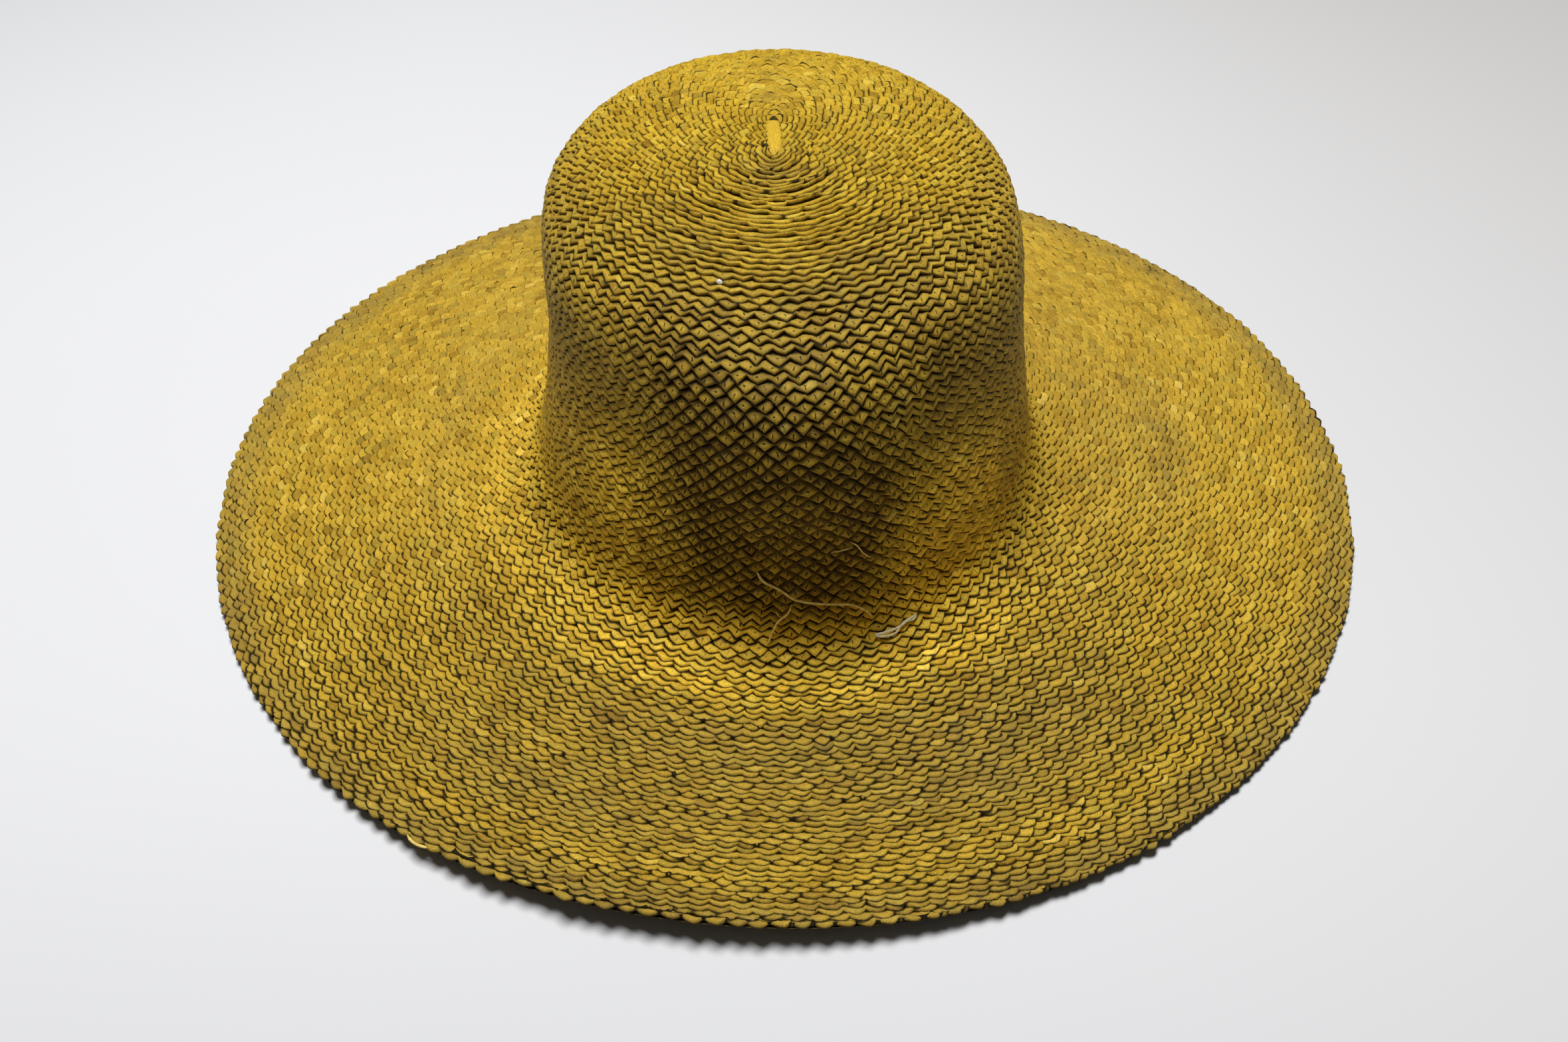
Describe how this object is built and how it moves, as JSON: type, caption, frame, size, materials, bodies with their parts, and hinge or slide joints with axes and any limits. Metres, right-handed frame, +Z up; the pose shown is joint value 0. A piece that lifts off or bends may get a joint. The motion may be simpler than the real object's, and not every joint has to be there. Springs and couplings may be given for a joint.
{
  "type": "wide-brimmed straw hat",
  "caption": "Wide-brimmed hat sewn from a narrow leaf plait wound in a spiral, with a tall softly dented crown and a nearly flat brim; shades a wearer's head.",
  "frame": {"origin": "middle of the hat's outline as seen from above, on the surface it stands on", "axes": "+Z up out of the crown, -Y towards the front of the hat, +X towards the right of a viewer who faces the front"},
  "size_m": [0.38, 0.396, 0.118],
  "materials": {
    "tip_straw": "matte plaited leaf straw, a little worn",
    "side_straw": "matte plaited leaf straw, soiled on the front",
    "brim_straw": "matte plaited leaf straw",
    "start_straw": "matte smooth leaf strip"
  },
  "bodies": {
    "root": {"crown_tip": "tip_straw", "crown_side": "side_straw", "brim": "brim_straw", "plait_start": "start_straw"}
  },
  "joints": []
}
